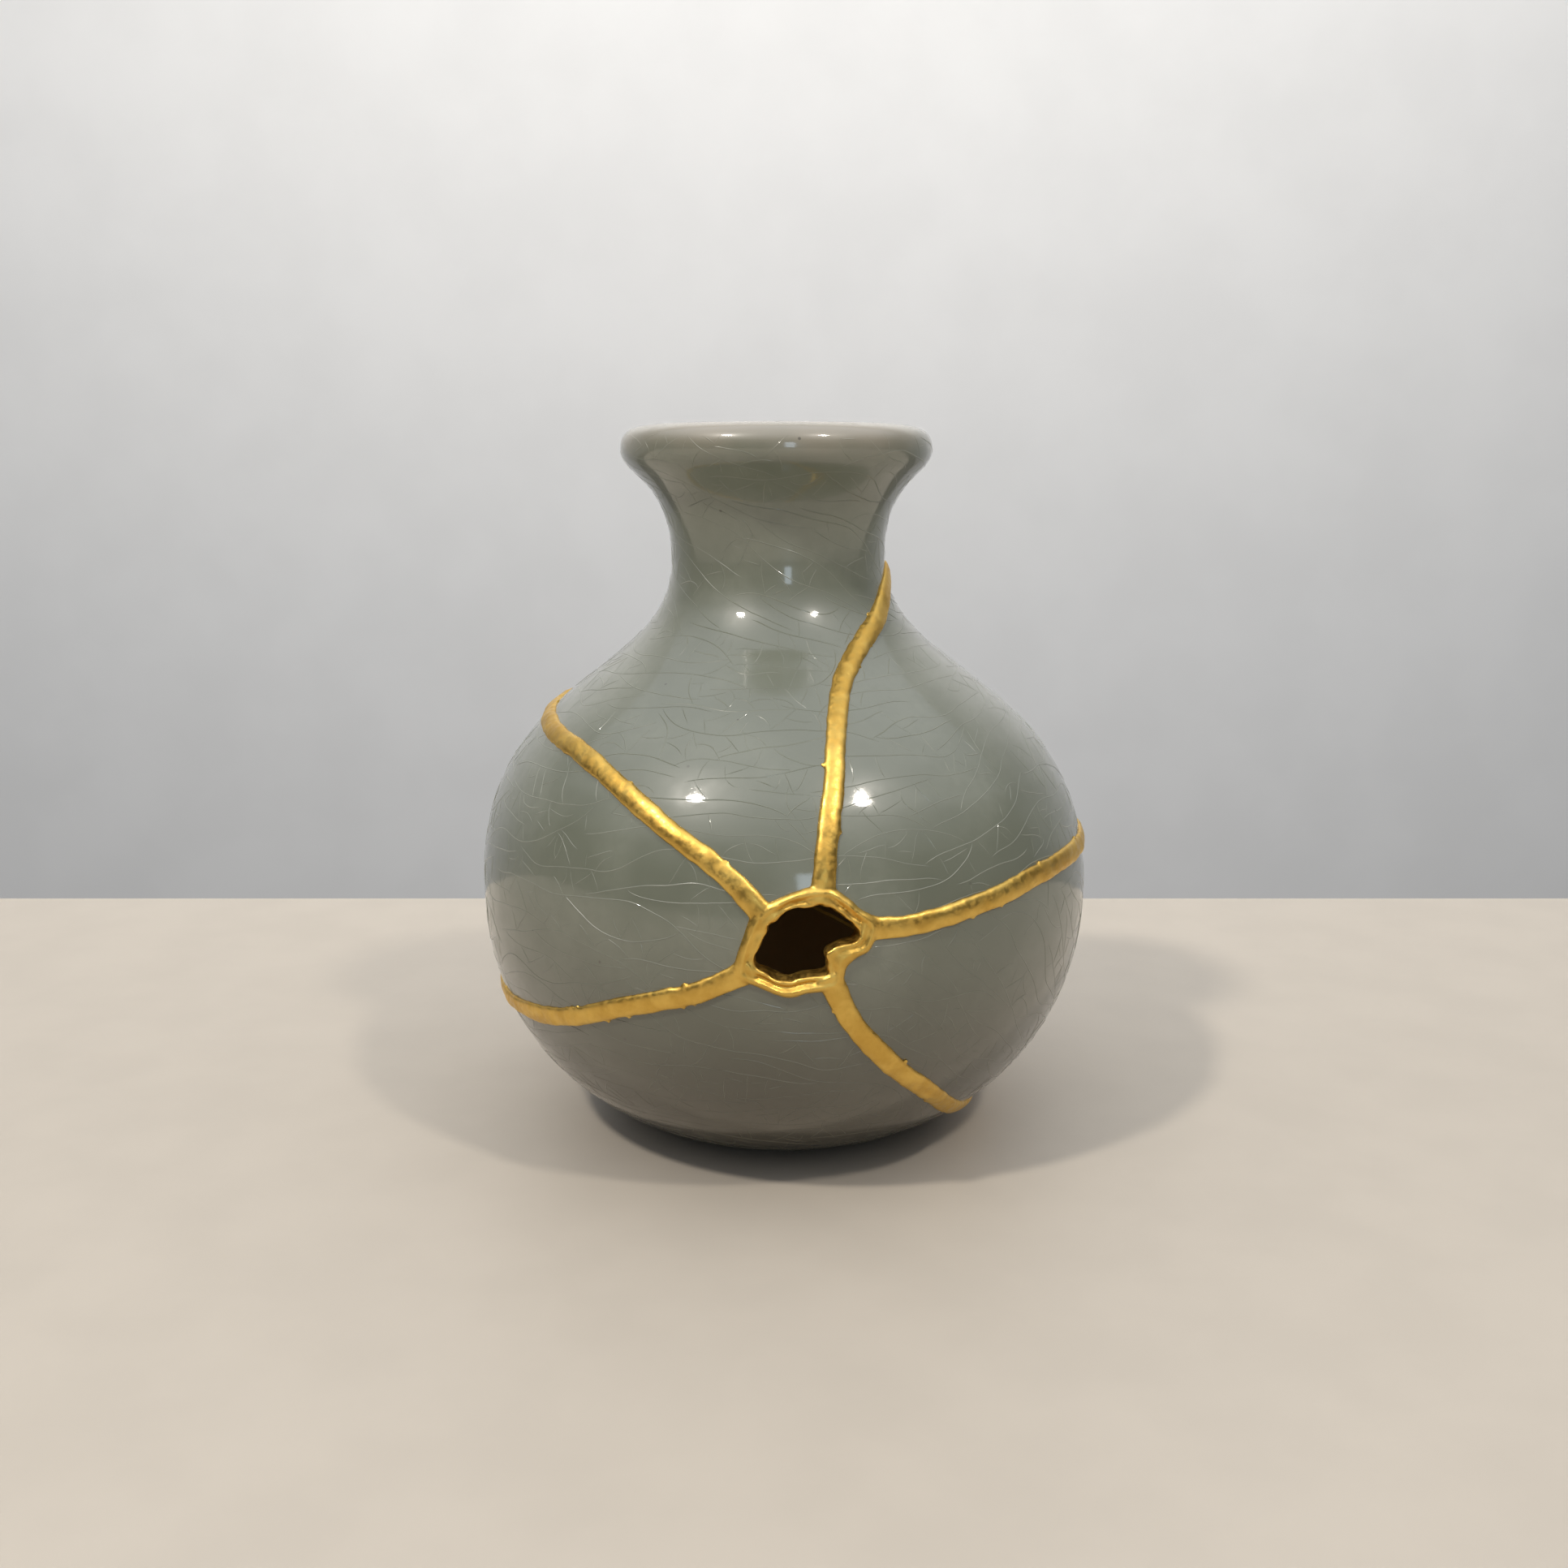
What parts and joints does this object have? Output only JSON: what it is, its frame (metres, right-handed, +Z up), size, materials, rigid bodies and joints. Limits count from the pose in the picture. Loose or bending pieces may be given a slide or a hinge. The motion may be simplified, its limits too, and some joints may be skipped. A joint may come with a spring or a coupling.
{
  "type": "kintsugi vase",
  "caption": "Pear shaped bottle vase with a crackled celadon glaze, broken and mended with raised gold seams that run to a gold rimmed hole in the belly.",
  "frame": {"origin": "middle of the foot, on the surface that the vase stands on", "axes": "+Z up through the mouth, -Y towards the viewer out of the hole in the belly, +X to the viewer's right"},
  "size_m": [0.1402, 0.1408, 0.16],
  "materials": {
    "crackle_glaze": "glossy grey green celadon glaze with fine crazing",
    "gold_lacquer": "satin gold over lacquer, slightly uneven"
  },
  "bodies": {
    "root": {"sherd_mouth": "crackle_glaze", "sherd_right_shoulder": "crackle_glaze", "sherd_right_side": "crackle_glaze", "sherd_base": "crackle_glaze", "sherd_left_side": "crackle_glaze", "kintsugi_gold": "gold_lacquer"}
  },
  "joints": []
}
